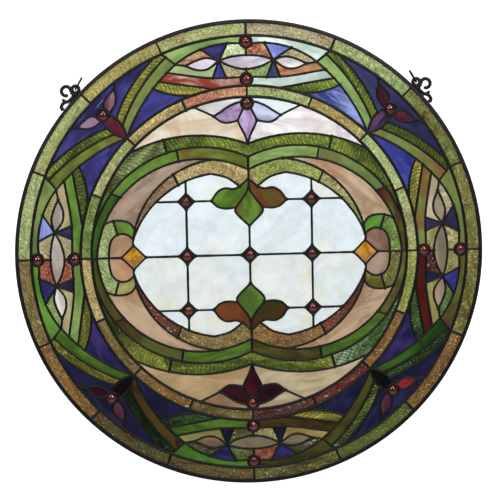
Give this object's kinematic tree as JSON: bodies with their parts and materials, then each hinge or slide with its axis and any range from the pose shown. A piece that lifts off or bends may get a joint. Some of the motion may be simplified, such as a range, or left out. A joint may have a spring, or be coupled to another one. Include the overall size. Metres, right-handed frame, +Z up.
{
  "type": "stained glass window",
  "caption": "Round leaded stained glass window panel with flowers, leaves, scrolls and jewels, hung by a chain link in a scroll hanger at each side of its rim.",
  "frame": {"origin": "hanging point, midway between the upper ends of the two chain links, straight above the panel's centre", "axes": "+Z up, -Y towards the viewer of the panel's front, +X to the right of that viewer"},
  "size_m": [0.6096, 0.0099, 0.6096],
  "materials": {
    "lead": "black patina over lead and solder",
    "iron": "black patina",
    "white_glass": "opalescent art glass, glossy, not see-through",
    "leaf_glass": "opalescent art glass, glossy, not see-through",
    "gold_glass": "opalescent art glass, glossy, not see-through",
    "border_glass": "opalescent art glass, glossy, not see-through",
    "beige_glass": "opalescent art glass, glossy, not see-through",
    "green_glass": "opalescent art glass, glossy, not see-through",
    "ripple_glass": "opalescent art glass, glossy, not see-through",
    "cream_glass": "opalescent art glass, glossy, not see-through",
    "plum_glass": "opalescent art glass, glossy, not see-through",
    "amber_glass": "opalescent art glass, glossy, not see-through",
    "blue_glass": "opalescent art glass, glossy, not see-through"
  },
  "bodies": {
    "root": {"bottom_border_glass": "border_glass", "bottom_cartouche_glass": "cream_glass", "bottom_ring_glass": "gold_glass", "lattice_glass": "white_glass", "lead_network": "lead", "left_amber_diamond": "amber_glass", "left_border_glass": "border_glass", "left_cartouche_glass": "cream_glass", "left_chain_link": "iron", "left_hanger": "iron", "left_ring_glass": "gold_glass", "left_scroll_glass": "green_glass", "lower_flower": "plum_glass", "lower_gold_band": "gold_glass", "lower_leaves": "leaf_glass", "lower_left_beige_crescent": "beige_glass", "lower_left_corner_flower": "plum_glass", "lower_left_cream_field": "cream_glass", "lower_left_flat_strap_glass": "blue_glass", "lower_left_green_band": "green_glass", "lower_left_steep_strap_glass": "blue_glass", "lower_right_beige_crescent": "beige_glass", "lower_right_corner_flower": "plum_glass", "lower_right_cream_field": "cream_glass", "lower_right_flat_strap_glass": "blue_glass", "lower_right_green_band": "green_glass", "lower_right_steep_strap_glass": "blue_glass", "lower_ripple_band": "ripple_glass", "right_amber_diamond": "amber_glass", "right_border_glass": "border_glass", "right_cartouche_glass": "cream_glass", "right_chain_link": "iron", "right_hanger": "iron", "right_ring_glass": "gold_glass", "right_scroll_glass": "green_glass", "rim": "iron", "top_border_glass": "border_glass", "top_cartouche_glass": "cream_glass", "top_ring_glass": "gold_glass", "upper_flower": "plum_glass", "upper_gold_band": "gold_glass", "upper_leaves": "leaf_glass", "upper_left_beige_crescent": "beige_glass", "upper_left_corner_flower": "plum_glass", "upper_left_cream_field": "cream_glass", "upper_left_flat_strap_glass": "blue_glass", "upper_left_green_band": "green_glass", "upper_left_steep_strap_glass": "blue_glass", "upper_right_beige_crescent": "beige_glass", "upper_right_corner_flower": "plum_glass", "upper_right_cream_field": "cream_glass", "upper_right_flat_strap_glass": "blue_glass", "upper_right_green_band": "green_glass", "upper_right_steep_strap_glass": "blue_glass", "upper_ripple_band": "ripple_glass"}
  },
  "joints": []
}
